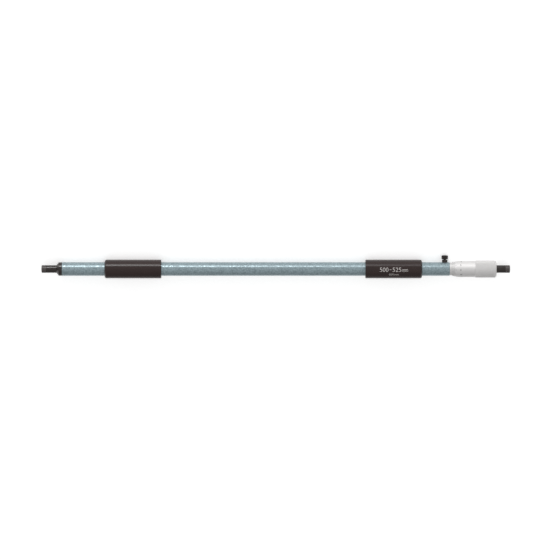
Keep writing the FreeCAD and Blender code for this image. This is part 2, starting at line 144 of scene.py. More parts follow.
class Recipe:
    """The node tree of one finish in the making."""

    def __init__(self, name: str) -> None:
        """Start a material that holds one shader.

        Args:
            name: Name of the material.
        """
        self.material = bpy.data.materials.new(name)
        self.material.use_nodes = True
        self.tree = self.material.node_tree
        self.shader = self.tree.nodes["Principled BSDF"]
        self.object_place = self.node("ShaderNodeTexCoord").outputs["Object"]

    def node(self, kind: str, **settings: object) -> bpy.types.Node:
        """Add a node.

        Args:
            kind: The node's type.
            **settings: Values of the node's own properties.

        Returns:
            The new node.
        """
        made = self.tree.nodes.new(kind)
        for name, value in settings.items():
            setattr(made, name, value)
        return made

    def link(self, source: bpy.types.NodeSocket, target: bpy.types.NodeSocket) -> None:
        """Link one socket to another."""
        self.tree.links.new(source, target)

    def set(self, **values: object) -> None:
        """Set the shader's own sockets, with _ for a space in a socket's name."""
        for name, value in values.items():
            self.shader.inputs[name.replace("_", " ")].default_value = value

    def feed(self, socket: str, source: bpy.types.NodeSocket) -> None:
        """Link a socket of the shader to a texture."""
        self.link(source, self.shader.inputs[socket])

    def stretched(self, scale: tuple[float, float, float]) -> bpy.types.NodeSocket:
        """Object coordinates stretched along each axis.

        Args:
            scale: Repeats a metre along x, y and z.

        Returns:
            The stretched coordinates.
        """
        mapping = self.node("ShaderNodeMapping")
        self.link(self.object_place, mapping.inputs["Vector"])
        mapping.inputs["Scale"].default_value = scale
        return mapping.outputs["Vector"]

    def noise(self, place: bpy.types.NodeSocket, scale: float, detail: float = 2.0) -> bpy.types.NodeSocket:
        """Fractal noise between 0 and 1.

        Args:
            place: Coordinates.
            scale: Repeats per unit of the coordinates.
            detail: Octaves.

        Returns:
            The noise value.
        """
        texture = self.node("ShaderNodeTexNoise")
        self.link(place, texture.inputs["Vector"])
        texture.inputs["Scale"].default_value = scale
        texture.inputs["Detail"].default_value = detail
        return texture.outputs["Fac"]

    def spread(self, value: bpy.types.NodeSocket, span: Span,
               low: float, high: float) -> bpy.types.NodeSocket:
        """Map a value from one span to another, clamped.

        Args:
            value: The value.
            span: Its low and high end.
            low: Result at the low end.
            high: Result at the high end.

        Returns:
            The mapped value.
        """
        mapped = self.node("ShaderNodeMapRange")
        self.link(value, mapped.inputs["Value"])
        mapped.inputs["From Min"].default_value, mapped.inputs["From Max"].default_value = span
        mapped.inputs["To Min"].default_value, mapped.inputs["To Max"].default_value = low, high
        return mapped.outputs["Result"]

    def blend(self, share: bpy.types.NodeSocket, first: Colour, second: Colour) -> bpy.types.NodeSocket:
        """Mix two colours by a share.

        Args:
            share: 0 for the first colour, 1 for the second.
            first: Linear colour.
            second: Linear colour.

        Returns:
            The mixed colour.
        """
        mix = self.node("ShaderNodeMix", data_type="RGBA")
        self.link(share, mix.inputs["Factor"])
        colours = [socket for socket in mix.inputs if socket.type == "RGBA"]
        colours[0].default_value = (*first, 1)
        colours[1].default_value = (*second, 1)
        return next(socket for socket in mix.outputs if socket.type == "RGBA")

    def relief(self, height: bpy.types.NodeSocket, depth: float, strength: float) -> bpy.types.NodeSocket:
        """Bump from a height between 0 and 1.

        Args:
            height: The height.
            depth: What a height of 1 is, in metres.
            strength: Share of the effect.

        Returns:
            The normal.
        """
        bump = self.node("ShaderNodeBump")
        self.link(height, bump.inputs["Height"])
        bump.inputs["Distance"].default_value = depth
        bump.inputs["Strength"].default_value = strength
        return bump.outputs["Normal"]


@dataclass(frozen=True)
class HammertonePaint:
    """Hammered stoving paint: metal flake that has drawn together in small dimples.

    Attributes:
        light: Colour in the middle of a dimple.
        dark: Colour between the dimples.
        dimples_per_metre: How close they lie.
        dimple_depth: Their depth, in metres.
        drift: How far each is shifted, as a share of their spacing.
        blur: How softly one runs into the next.
        rim: Distances from the middle at which a dimple starts and ends to rise.
        relief: Share of the relief that shows.
        patches_per_metre: How close the large pale and dark patches lie.
        patch_share: How much the patches count in the shade.
        shade: What a dimple adds to the shade, in its middle and at its rim.
        roughness: Roughness in the middle of a dimple and at its rim.
        metallic: Share of the flake.
    """

    light: Colour = (0.335, 0.43, 0.463)
    dark: Colour = (0.178, 0.232, 0.253)
    dimples_per_metre: float = 620.0
    dimple_depth: float = 0.045 * MM
    drift: float = 0.35
    blur: float = 0.35
    rim: Span = (0.1, 0.75)
    relief: float = 0.8
    patches_per_metre: float = 150.0
    patch_share: float = 0.5
    shade: Span = (-0.25, 0.55)
    roughness: Span = (0.27, 0.36)
    metallic: float = 0.42

    def material(self) -> bpy.types.Material:
        """Make the paint's material."""
        recipe = Recipe("hammertone")
        wander = recipe.node("ShaderNodeTexNoise")
        recipe.link(recipe.object_place, wander.inputs["Vector"])
        wander.inputs["Scale"].default_value = self.dimples_per_metre
        offset = recipe.node("ShaderNodeVectorMath", operation="MULTIPLY_ADD")
        recipe.link(wander.outputs["Color"], offset.inputs[0])
        offset.inputs[1].default_value = (self.drift / self.dimples_per_metre,) * 3
        recipe.link(recipe.object_place, offset.inputs[2])
        cells = recipe.node("ShaderNodeTexVoronoi", feature="SMOOTH_F1")
        recipe.link(offset.outputs["Vector"], cells.inputs["Vector"])
        cells.inputs["Scale"].default_value = self.dimples_per_metre
        cells.inputs["Smoothness"].default_value = self.blur
        dimple = recipe.spread(cells.outputs["Distance"], self.rim, 0.0, 1.0)
        patches = recipe.noise(recipe.object_place, self.patches_per_metre, 3.0)
        share = recipe.node("ShaderNodeMath", operation="MULTIPLY_ADD", use_clamp=True)
        recipe.link(patches, share.inputs[0])
        share.inputs[1].default_value = self.patch_share
        recipe.link(recipe.spread(dimple, (0, 1), *self.shade), share.inputs[2])
        recipe.feed("Base Color", recipe.blend(share.outputs["Value"], self.light, self.dark))
        recipe.feed("Roughness", recipe.spread(dimple, (0, 1), *self.roughness))
        recipe.feed("Normal", recipe.relief(dimple, self.dimple_depth, self.relief))
        recipe.set(Metallic=self.metallic)
        return recipe.material


@dataclass(frozen=True)
class TurnedMetal:
    """A turned or ground metal with fine tool marks round the axis.

    Attributes:
        name: Name of the material.
        colour: Its linear colour.
        metallic: Share of bare metal, 0 on an oxide layer.
        roughness: Mean roughness.
        specular: Strength of the shine where it isn't metal.
        marks_per_metre: How close the tool marks lie along the instrument.
        marks_across: How often they change across it, a metre.
        mark_depth: Their depth, in metres.
        relief: Share of the relief that shows.
        clouds_per_metre: How close the paler and darker clouds lie.
        mottle: How much they differ, as a share of the colour.
        drift: How far the roughness falls and rises with them.
    """

    name: str
    colour: Colour
    metallic: float
    roughness: float
    specular: float = 0.5
    marks_per_metre: float = 6000.0
    marks_across: float = 60.0
    mark_depth: float = 0.004 * MM
    relief: float = 0.5
    clouds_per_metre: float = 260.0
    mottle: float = 0.07
    drift: Span = (-0.04, 0.05)

    def material(self) -> bpy.types.Material:
        """Make the metal's material."""
        recipe = Recipe(self.name)
        marks_place = recipe.stretched((self.marks_per_metre, self.marks_across, self.marks_across))
        marks = recipe.noise(marks_place, 1.0, 2.0)
        clouds = recipe.noise(recipe.object_place, self.clouds_per_metre, 4.0)
        darker = tuple(channel * (1 - self.mottle) for channel in self.colour)
        lighter = tuple(min(1.0, channel * (1 + self.mottle)) for channel in self.colour)
        smoother, rougher = self.roughness + self.drift[0], self.roughness + self.drift[1]
        recipe.feed("Base Color", recipe.blend(recipe.spread(clouds, NOISE_SPAN, 0, 1), darker, lighter))
        recipe.feed("Roughness", recipe.spread(clouds, NOISE_SPAN, smoother, rougher))
        recipe.feed("Normal", recipe.relief(marks, self.mark_depth, self.relief))
        recipe.set(Metallic=self.metallic, Specular_IOR_Level=self.specular)
        return recipe.material


@dataclass(frozen=True)
class MouldedPlastic:
    """Heat-insulating plastic with a fine matt grain.

    Attributes:
        colour: Its linear colour.
        roughness: Mean roughness.
        drift: How far the roughness falls and rises with the grain.
        specular: Strength of the shine.
        grain_per_metre: How close the grain lies.
        grain_depth: Its depth, in metres.
        relief: Share of the relief that shows.
        flow: Repeats a metre of the filler's streaks, along x, y and z.
        mottle: How much the streaks take from the colour and add to it, as shares.
    """

    colour: Colour = (0.024, 0.012, 0.0105)
    roughness: float = 0.28
    drift: Span = (-0.04, 0.06)
    specular: float = 0.33
    grain_per_metre: float = 3500.0
    grain_depth: float = 0.01 * MM
    relief: float = 0.5
    flow: tuple[float, float, float] = (90, 700, 700)
    mottle: Span = (0.86, 1.16)

    def material(self) -> bpy.types.Material:
        """Make the plastic's material."""
        recipe = Recipe("grip_plastic")
        grain = recipe.noise(recipe.object_place, self.grain_per_metre, 3.0)
        streaks = recipe.noise(recipe.stretched(self.flow), 1.0, 3.0)
        darker, lighter = (tuple(channel * share for channel in self.colour) for share in self.mottle)
        smoother, rougher = self.roughness + self.drift[0], self.roughness + self.drift[1]
        recipe.feed("Base Color", recipe.blend(recipe.spread(streaks, NOISE_SPAN, 0, 1), darker, lighter))
        recipe.feed("Roughness", recipe.spread(grain, NOISE_SPAN, smoother, rougher))
        recipe.feed("Normal", recipe.relief(grain, self.grain_depth, self.relief))
        recipe.set(Specular_IOR_Level=self.specular)
        return recipe.material


@dataclass(frozen=True)
class Ink:
    """Printing ink or the paint that fills an engraved line."""

    name: str
    colour: Colour
    roughness: float = 0.55
    drift: float = 0.05
    wear_per_metre: float = 2500.0
    wear_span: Span = (0.35, 0.65)
    worn: float = 0.8

    def material(self) -> bpy.types.Material:
        """Make the ink's material."""
        recipe = Recipe(self.name)
        wear = recipe.noise(recipe.object_place, self.wear_per_metre, 3.0)
        thinner = tuple(channel * self.worn for channel in self.colour)
        smoother, rougher = self.roughness - self.drift, self.roughness + self.drift
        share = recipe.spread(wear, self.wear_span, 0, 1)
        recipe.feed("Base Color", recipe.blend(share, thinner, self.colour))
        recipe.feed("Roughness", recipe.spread(wear, NOISE_SPAN, smoother, rougher))
        return recipe.material


@dataclass
class Finishes:
    """Every finish of the instrument, made once."""

    made: dict[Slot, bpy.types.Material] = field(default_factory=dict)
    black_ink: bpy.types.Material | None = None
    white_ink: bpy.types.Material | None = None

    def make(self) -> None:
        """Make the materials."""
        self.made = {
            Slot.HAMMERTONE: HammertonePaint().material(),
            Slot.GRIP: MouldedPlastic().material(),
            Slot.BLACK: TurnedMetal("black_oxide", (0.019, 0.013, 0.0115), 0.0, 0.21, 0.45).material(),
            Slot.CONTACT: TurnedMetal("contact_steel", (0.047, 0.038, 0.036), 0.0, 0.4, 0.6).material(),
            Slot.CHROME: TurnedMetal("satin_chrome", (0.71, 0.70, 0.695), 0.75, 0.6, mottle=0.03).material(),
            Slot.STEEL: TurnedMetal("ground_steel", (0.55, 0.55, 0.56), 1.0, 0.3).material(),
            Slot.BRASS: TurnedMetal("brass", (0.78, 0.57, 0.22), 1.0, 0.32).material(),
        }
        self.black_ink = Ink("engraving_black", (0.02, 0.019, 0.02)).material()
        self.white_ink = Ink("print_white", (0.74, 0.70, 0.68)).material()

    def dress(self, node: str, slot: Slot) -> None:
        """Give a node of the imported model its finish.

        Args:
            node: Name of the node.
            slot: The finish.
        """
        for holder in frame["nodes"][node].material_slots:
            holder.material = self.made[slot]


class Draft:
    """A mesh in the making: rings of points and the faces between them."""

    def __init__(self) -> None:
        """Start with nothing."""
        self.points: list[Vector] = []
        self.faces: list[tuple[int, ...]] = []
        self.inks: list[int] = []

    def ring(self, points: list[Vector]) -> list[int]:
        """Add a ring of points.

        Args:
            points: The points in order.

        Returns:
            Their numbers.
        """
        first = len(self.points)
        self.points += points
        return list(range(first, len(self.points)))

    def face(self, corners: tuple[int, ...], ink: int = 0) -> None:
        """Add a face with the number of its finish."""
        self.faces.append(corners)
        self.inks.append(ink)

    def join(self, first: list[int], second: list[int], ink: Callable[[int], int] | None = None) -> None:
        """Join two rings of the same count with four-sided faces.

        Args:
            first: The ring on the left.
            second: The ring on the right.
            ink: Gives the finish of each face by its number round the ring.
        """
        for index in range(len(first)):
            after = (index + 1) % len(first)
            corners = (first[index], first[after], second[after], second[index])
            self.face(corners, ink(index) if ink else 0)

    def stitch(self, first: list[int], first_turns: list[float],
               second: list[int], second_turns: list[float]) -> None:
        """Join two rings of different counts with triangles.

        Args:
            first: The ring on the left.
            first_turns: The angle of each of its points, rising.
            second: The ring on the right.
            second_turns: The angle of each of its points, rising.
        """
        i = j = 0
        while i < len(first) or j < len(second):
            next_first = first_turns[i + 1] if i + 1 < len(first) else first_turns[0] + math.tau
            next_second = second_turns[j + 1] if j + 1 < len(second) else second_turns[0] + math.tau
            a, b = first[i % len(first)], second[j % len(second)]
            if j >= len(second) or (i < len(first) and next_first <= next_second):
                self.face((a, first[(i + 1) % len(first)], b))
                i += 1
            else:
                self.face((a, second[(j + 1) % len(second)], b))
                j += 1

    def piece(self, name: str, materials: list[bpy.types.Material], smooth_below: float) -> bpy.types.Object:
        """Finish the mesh and put it in the scene.

        Args:
            name: Name of the piece.
            materials: Its finishes, by number.
            smooth_below: Edges flatter than this many degrees are shaded smooth.

        Returns:
            The new object.
        """
        mesh = bpy.data.meshes.new(name)
        mesh.from_pydata([tuple(point) for point in self.points], [], self.faces)
        for polygon, ink in zip(mesh.polygons, self.inks):
            polygon.material_index = ink
        for material in materials:
            mesh.materials.append(material)
        work = bmesh.new()
        work.from_mesh(mesh)
        bmesh.ops.recalc_face_normals(work, faces=work.faces)
        for edge in work.edges:
            edge.smooth = edge.is_manifold and edge.calc_face_angle(math.pi) < math.radians(smooth_below)
        for face in work.faces:
            face.smooth = True
        work.to_mesh(mesh)
        work.free()
        piece = bpy.data.objects.new(name, mesh)
        bpy.context.scene.collection.objects.link(piece)
        return piece


@dataclass
class Lettering:
    """Numbers, letters and strokes laid on a turned surface.

    Attributes:
        axis: The instrument's axis.
        thickness: Thickness of the ink, in metres, most of it let into the surface.
        proud: How far it stands proud of the surface, in metres.
        strip: Widest strip that isn't bent round the surface, in metres.
        weld: Points closer than this are one, in metres.
        curve_steps: Steps to each curve of a letter.
    """

    axis: Axis
    thickness: float = 0.03 * MM
    proud: float = 0.012 * MM
    strip: float = 0.25 * MM
    weld: float = 0.001 * MM
    curve_steps: int = 5

    def outline(self, text: str, height: float, width: float, weight: float) -> bpy.types.Mesh:
        """Make the flat filled outline of a text, with its middle at the origin.

        Args:
            text: What it says.
            height: Height of a figure, in metres.
            width: Width of the whole text, in metres.
            weight: How much the strokes are thickened, as a share of the font's size.

        Returns:
            The flat mesh.
        """
        curve = bpy.data.curves.new("outline", "FONT")
        curve.body = text
        curve.align_x = "LEFT"
        curve.resolution_u = self.curve_steps
        curve.offset = weight
        source = bpy.data.objects.new("outline", curve)
        bpy.context.scene.collection.objects.link(source)
        bpy.context.view_layer.update()
        flat = bpy.data.meshes.new_from_object(source.evaluated_get(bpy.context.evaluated_depsgraph_get()))
        bpy.data.objects.remove(source)
        bpy.data.curves.remove(curve)
        xs = [vertex.co.x for vertex in flat.vertices]
        ys = [vertex.co.y for vertex in flat.vertices]
        left, right, bottom, top = min(xs), max(xs), min(ys), max(ys)
        fit = Matrix.Diagonal((width / (right - left), height / (top - bottom), 1, 1))
        flat.transform(fit @ Matrix.Translation((-(left + right) / 2, -(bottom + top) / 2, 0)))
        return flat

    def write(self, name: str, text: str, place: float, angle: float, radius: Callable[[float], float],
              height: float, width: float, ink: bpy.types.Material, weight: float = 0.0) -> bpy.types.Object:
        """Write a text round the surface, read with the clamp knob up.

        Args:
            name: Name of the piece.
            text: What to write.
            place: Where its middle is along the instrument, in metres.
            angle: Where its middle is round the axis, in radians.
            radius: The surface's radius at a place along the instrument.
            height: Height of a figure, in metres.
            width: Width of the whole text, in metres.
            ink: Its finish.
            weight: How much the strokes are thickened, as a share of the font's size.

        Returns:
            The text as a thin closed solid.
        """
        flat = self.outline(text, height, width, weight)
        work = bmesh.new()
        work.from_mesh(flat)
        bmesh.ops.remove_doubles(work, verts=work.verts, dist=self.weld)
        for step in range(1, math.ceil(height / self.strip)):
            level = -height / 2 + step * self.strip
            everything = [*work.verts, *work.edges, *work.faces]
            bmesh.ops.bisect_plane(work, geom=everything, plane_co=(0, level, 0), plane_no=(0, 1, 0))
        bmesh.ops.remove_doubles(work, verts=work.verts, dist=self.weld)
        bmesh.ops.dissolve_degenerate(work, edges=work.edges, dist=self.weld)
        front = list(work.faces)
        grown = bmesh.ops.extrude_face_region(work, geom=front)
        lifted = {item for item in grown["geom"] if isinstance(item, bmesh.types.BMVert)}
        for vertex in work.verts:
            x = place + vertex.co.x
            surface = radius(x)
            lift = self.proud if vertex in lifted else self.proud - self.thickness
            vertex.co = self.axis.point(x, angle + vertex.co.y / surface, surface + lift)
        bmesh.ops.recalc_face_normals(work, faces=work.faces)
        work.to_mesh(flat)
        work.free()
        flat.name = name
        flat.materials.clear()
        flat.materials.append(ink)
        piece = bpy.data.objects.new(name, flat)
        bpy.context.scene.collection.objects.link(piece)
        return piece

    def stroke(self, draft: Draft, span: Span, turns: Span, radius: float) -> None:
        """Add one thin closed strip on a cylinder to a draft.

        Args:
            draft: The mesh that the strip goes to.
            span: Its two ends along the instrument, in metres.
            turns: Its two ends round the axis, in radians.
            radius: The cylinder's radius, in metres.
        """
        steps = max(1, math.ceil((turns[1] - turns[0]) * radius / self.strip))
        rows = []
        for step in range(steps + 1):
            turn = turns[0] + (turns[1] - turns[0]) * step / steps
            rows.append(draft.ring([
                self.axis.point(span[0], turn, radius - self.thickness + self.proud),
                self.axis.point(span[0], turn, radius + self.proud),
                self.axis.point(span[1], turn, radius + self.proud),
                self.axis.point(span[1], turn, radius - self.thickness + self.proud),
            ]))
        for near, far in zip(rows, rows[1:]):
            draft.join(near, far)
        draft.face(tuple(rows[0]))
        draft.face(tuple(reversed(rows[-1])))


@dataclass
class Thimble:
    """The thimble: an engraved bevel, a plain band with numbers and a diamond-knurled band.

    Lengths are in metres, and places count from the front edge. lead_step is how far the first ring of the
    step up to the knurl lies past its start and above the band. end_profile gives the back edge from outside
    to inside, each ring by its distance from the end and its drop below the knurl.
    """

    axis: Axis
    lip_radius: float = 7.25 * MM
    bevel_length: float = 6.9 * MM
    radius: float = 8.6 * MM
    knurl_start: float = 24.7 * MM
    knurl_lead: float = 0.5 * MM
    knurl_radius: float = 9.15 * MM
    knurl_depth: float = 0.17 * MM
    knurl_count: int = 72
    end_bevel_length: float = 1.7 * MM
    bore_radius: float = 6.9 * MM
    bore_depth: float = 36.4 * MM
    seat_radius: float = 3.22 * MM
    seat_end_radius: float = 2.67 * MM
    divisions: int = 50
    numbered: int = 5
    line_width: float = 0.15 * MM
    line_depth: float = 0.05 * MM
    line_share: float = 0.7
    short_line: float = 3.4 * MM
    long_line: float = 5.4 * MM
    number_place: float = 9.25 * MM
    number_height: float = 1.9 * MM
    digit_width: float = 1.05 * MM
    number_spacing: float = 1.08
    zero_angle: float = math.radians(-8)
    land_steps: int = 4
    rounding: float = 0.12 * MM
    lead_step: Span = (0.1 * MM, 0.05 * MM)
    end_profile: tuple[Span, ...] = ((1.55 * MM, 0.16 * MM), (0.12 * MM, 1.05 * MM), (0.0, 1.18 * MM))
    smooth_below: float = 28.0

    def start(self) -> float:
        """Place of the front edge along the instrument, in metres."""
        return node_box("thimble")[0].x

    def length(self) -> float:
        """Length of the thimble, in metres."""
        low, high = node_box("thimble")
        return high.x - low.x

    def surface(self, x: float) -> float:
        """Outer radius of the bevel and the plain band at a place along the instrument, in metres."""
        share = min(1.0, max(0.0, (x - self.start()) / self.bevel_length))
        return self.lip_radius + (self.radius - self.lip_radius) * share

    def columns(self) -> tuple[list[float], list[Reach | None], list[bool]]:
        """Angles round the bevel, with the engraved lines let in.

        Returns:
            The angle of each column, the reach of the line that a face after it lies in, and whether the
            column is on a line's floor.
        """
        pitch = math.tau / self.divisions
        half = self.line_width / 2 / self.radius
        angles, reaches, floors = [], [], []
        for division in range(self.divisions):
            middle = self.zero_angle + division * pitch
            reach = Reach.SHORT if division % self.numbered else Reach.LONG
            for offset, floor in [(-1, False), (-self.line_share, True), (self.line_share, True)]:
                angles.append(middle + offset * half)
                reaches.append(reach)
                floors.append(floor)
            angles.append(middle + half)
            reaches.append(None)
            floors.append(False)
            for step in range(1, self.land_steps):
                angles.append(middle + half + (pitch - 2 * half) * step / self.land_steps)
                reaches.append(None)
                floors.append(False)
        return angles, reaches, floors

    def engraved_front(self, draft: Draft) -> tuple[list[int], list[int], list[float]]:
        """Add the bevel with its lines and the plain band.

        Args:
            draft: The mesh that they go to.

        Returns:
            The front edge's ring, the last ring and the angle of each of their points.
        """
        angles, reaches, floors = self.columns()
        ends = {Reach.SHORT: self.short_line, Reach.LONG: self.long_line}
        fade = self.line_depth / 2
        stations = [0.0]
        for end in ends.values():
            stations += [end - fade, end]
        stations += [self.bevel_length - self.rounding, self.bevel_length + self.rounding, self.knurl_start]
        rings = []
        for station in stations:
            x = self.start() + station
            ring = []
            for index, angle in enumerate(angles):
                radius = self.surface(x)
                if floors[index] and station < ends[reaches[index]]:
                    radius -= self.line_depth
                ring.append(self.axis.point(x, angle, radius))
            rings.append(draft.ring(ring))
        for number, (near, far) in enumerate(zip(rings, rings[1:])):
            def ink(index: int, reached: float = stations[number + 1]) -> int:
                """1 on the faces of a line, 0 on the metal."""
                reach = reaches[index]
                return int(reach is not None and reached <= ends[reach])
            draft.join(near, far, ink)
        return rings[0], rings[-1], angles

    def knurled_band(self, draft: Draft, turns: list[float]) -> tuple[list[int], list[int]]:
        """Add the diamond knurl: a grid on which low crossings and peaks alternate.

        Args:
            draft: The mesh that it goes to.
            turns: The angle of each column, two to a diamond.

        Returns:
            The first and the last ring.
        """
        first = self.knurl_start + self.knurl_lead
        last = self.length() - self.end_bevel_length
        pitch = math.tau * self.knurl_radius / self.knurl_count
        rows = 2 * round((last - first) / pitch)
        rings = []
        for row in range(rows + 1):
            x = self.start() + first + (last - first) * row / rows
            ring = []
            for column, turn in enumerate(turns):
                drop = self.knurl_depth if (row + column) % 2 == 0 else 0.0
                ring.append(self.axis.point(x, turn, self.knurl_radius - drop))
            rings.append(draft.ring(ring))
        count = len(turns)
        for row, (near, far) in enumerate(zip(rings, rings[1:])):
            for column in range(count):
                after = (column + 1) % count
                a, b, c, d = near[column], near[after], far[after], far[column]
                if (row + column) % 2 == 0:
                    draft.face((a, b, c))
                    draft.face((a, c, d))
                else:
                    draft.face((a, b, d))
                    draft.face((b, c, d))
        return rings[0], rings[-1]

    def build(self, finishes: Finishes) -> list[bpy.types.Object]:
        """Build the thimble and its numbers.

        Args:
            finishes: The instrument's finishes.

        Returns:
            The new pieces.
        """
        draft = Draft()
        lip, band_end, angles = self.engraved_front(draft)
        count = 2 * self.knurl_count
        turns = [angles[0] + math.tau * column / count for column in range(count)]

        def plain(station: float, radius: float) -> list[int]:
            """A plain ring with the knurl's columns."""
            return draft.ring([self.axis.point(self.start() + station, turn, radius) for turn in turns])

        lead = plain(self.knurl_start + self.lead_step[0], self.radius + self.lead_step[1])
        draft.stitch(band_end, angles, lead, turns)
        knurl_first, knurl_last = self.knurled_band(draft, turns)
        draft.join(lead, knurl_first)
        length = self.length()
        inside = [plain(length - back, self.knurl_radius - drop) for back, drop in self.end_profile]
        inside += [
            plain(length, self.seat_end_radius),
            plain(self.bore_depth, self.seat_radius),
            plain(self.bore_depth, self.bore_radius),
            plain(0.0, self.bore_radius),
        ]
        for near, far in zip([knurl_last, *inside], inside):
            draft.join(near, far)
        draft.stitch(inside[-1], turns, lip, angles)
        inks = [finishes.made[Slot.CHROME], finishes.black_ink]
        thimble = draft.piece("thimble_knurled", inks, self.smooth_below)
        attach(thimble, Body.THIMBLE.value)
        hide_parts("thimble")
        return [thimble, *self.numbers(finishes)]

    def numbers(self, finishes: Finishes) -> list[bpy.types.Object]:
        """Write a number at every long line.

        Args:
            finishes: The instrument's finishes.

        Returns:
            The numbers.
        """
        lettering = Lettering(self.axis)
        made = []
        for number in range(0, self.divisions, self.numbered):
            angle = self.zero_angle + math.tau * number / self.divisions
            text = str(number)
            place = self.start() + self.number_place + (len(text) - 1) * self.digit_width / 2
            width = self.digit_width * len(text) * self.number_spacing
            piece = lettering.write("thimble_number_%02d" % number, text, place, angle, self.surface,
                                    self.number_height, width, finishes.black_ink)
            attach(piece, Body.THIMBLE.value)
            made.append(piece)
        return made


@dataclass
class Sleeve:
    """The graduated sleeve: its fiducial line, its half-millimetre scale and its numbers.

    Whole millimetres stand above the line and half ones below it, and every tenth mark is tall and numbered.
    """

    axis: Axis
    radius: float = 6.78 * MM
    zero_place: float = 2.4 * MM
    travel: float = 25 * MM
    mark_pitch: float = 0.5 * MM
    line_width: float = 0.13 * MM
    short_mark: float = 0.9 * MM
    tall_mark: float = 1.5 * MM
    numbered: int = 10
    number_height: float = 1.5 * MM
    number_gap: float = 0.35 * MM
    digit_width: float = 0.85 * MM
    line_start: float = 0.3 * MM
    line_angle: float = math.radians(-8)
    stroke_gap: float = 1.02
    smooth_below: float = 30.0

    def build(self, finishes: Finishes) -> list[bpy.types.Object]:
        """Lay the scale on the sleeve.

        Args:
            finishes: The instrument's finishes.

        Returns:
            The scale and its numbers.
        """
        start = node_box("graduated_sleeve")[0].x
        lettering = Lettering(self.axis)
        draft = Draft()
        half_turn = self.line_width / 2 / self.radius
        line_end = start + self.zero_place + self.travel + 2 * self.mark_pitch
        lettering.stroke(draft, (start + self.line_start, line_end),
                         (self.line_angle - half_turn, self.line_angle + half_turn), self.radius)
        pieces = []
        for mark in range(round(self.travel / self.mark_pitch) + 1):
            x = start + self.zero_place + mark * self.mark_pitch - self.line_width / 2
            whole = mark % 2 == 0
            tall = mark % self.numbered == 0
            reach = (self.tall_mark if tall else self.short_mark) / self.radius
            away = half_turn * self.stroke_gap
            turns = (self.line_angle + away, self.line_angle + reach) if whole else (
                self.line_angle - reach, self.line_angle - away)
            lettering.stroke(draft, (x - self.line_width / 2, x + self.line_width / 2), turns, self.radius)
            if tall:
                text = str(mark // 2)
                rise = self.tall_mark + self.number_gap + self.number_height / 2
                angle = self.line_angle + rise / self.radius
                number = lettering.write("sleeve_number_%02d" % (mark // 2), text, x, angle,
                                         lambda place: self.radius, self.number_height,
                                         self.digit_width * len(text), finishes.black_ink)
                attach(number, Body.FRAME.value)
                pieces.append(number)
        scale = draft.piece("sleeve_scale", [finishes.black_ink], self.smooth_below)
        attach(scale, Body.FRAME.value)
        return [scale, *pieces]


@dataclass
class RangePrint:
    """The range and the reading printed on the right grip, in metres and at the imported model's places."""

    axis: Axis
    radius: float = 10 * MM
    middle: float = 372.25 * MM - 250 * MM
    figures_apart: float = 13.6 * MM
    figures_width: float = 9.1 * MM
    figures_height: float = 4.5 * MM
    figures_angle: float = math.radians(-4.6)
    hyphen_width: float = 1.9 * MM
    hyphen_height: float = 0.5 * MM
    unit_place: float = 387.7 * MM - 250 * MM
    unit_width: float = 6.0 * MM
    unit_height: float = 2.7 * MM
    reading_place: float = 375.85 * MM - 250 * MM
    reading_width: float = 10.2 * MM
    reading_height: float = 2.3 * MM
    reading_angle: float = math.radians(-36.5)
    stroke_offset: float = -0.007

    def build(self, finishes: Finishes) -> list[bpy.types.Object]:
        """Print the lines.

        Args:
            finishes: The instrument's finishes.

        Returns:
            The printed pieces.
        """
        lettering = Lettering(self.axis)
        line = self.figures_angle
        low, high = self.middle - self.figures_apart / 2, self.middle + self.figures_apart / 2
        unit_line = line - (self.figures_height - self.unit_height) / 2 / self.radius
        figures = (self.figures_height, self.figures_width)
        hyphen = (self.hyphen_height, self.hyphen_width)
        unit = (self.unit_height, self.unit_width)
        reading = (self.reading_height, self.reading_width)
        parts = [
            ("range_low", "500", low, line, figures),
            ("range_hyphen", "-", self.middle, line, hyphen),
            ("range_high", "525", high, line, figures),
            ("range_unit", "mm", self.unit_place, unit_line, unit),
            ("reading", "0.01mm", self.reading_place, self.reading_angle, reading),
        ]
        made = []
        for name, text, place, angle, (height, width) in parts:
            piece = lettering.write("print_" + name, text, place, angle, lambda x: self.radius, height, width,
                                    finishes.white_ink, self.stroke_offset)
            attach(piece, Body.FRAME.value)
            made.append(piece)
        return made


@dataclass
class Carcass:
    """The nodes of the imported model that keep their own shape, each with its finish."""

    nodes: dict[Slot, list[str]] = field(default_factory=lambda: {
        Slot.HAMMERTONE: ["tube"],
        Slot.GRIP: ["left_grip", "right_grip"],
        Slot.BLACK: ["anvil", "end_plug", "spindle_tip", "clamp_collar", "clamp_screw"],
        Slot.CONTACT: ["anvil_contact", "tip_contact"],
        Slot.CHROME: ["graduated_sleeve", "thimble"],
        Slot.STEEL: ["head_body", "adjusting_nut", "spindle"],
        Slot.BRASS: ["clamp_shoe"],
    })

    def dress(self, finishes: Finishes) -> None:
        """Give every node its finish.

        Args:
            finishes: The instrument's finishes.
        """
        for slot, names in self.nodes.items():
            for name in names:
                finishes.dress(name, slot)
                LOG.info("dressed %s in %s", name, slot.value)


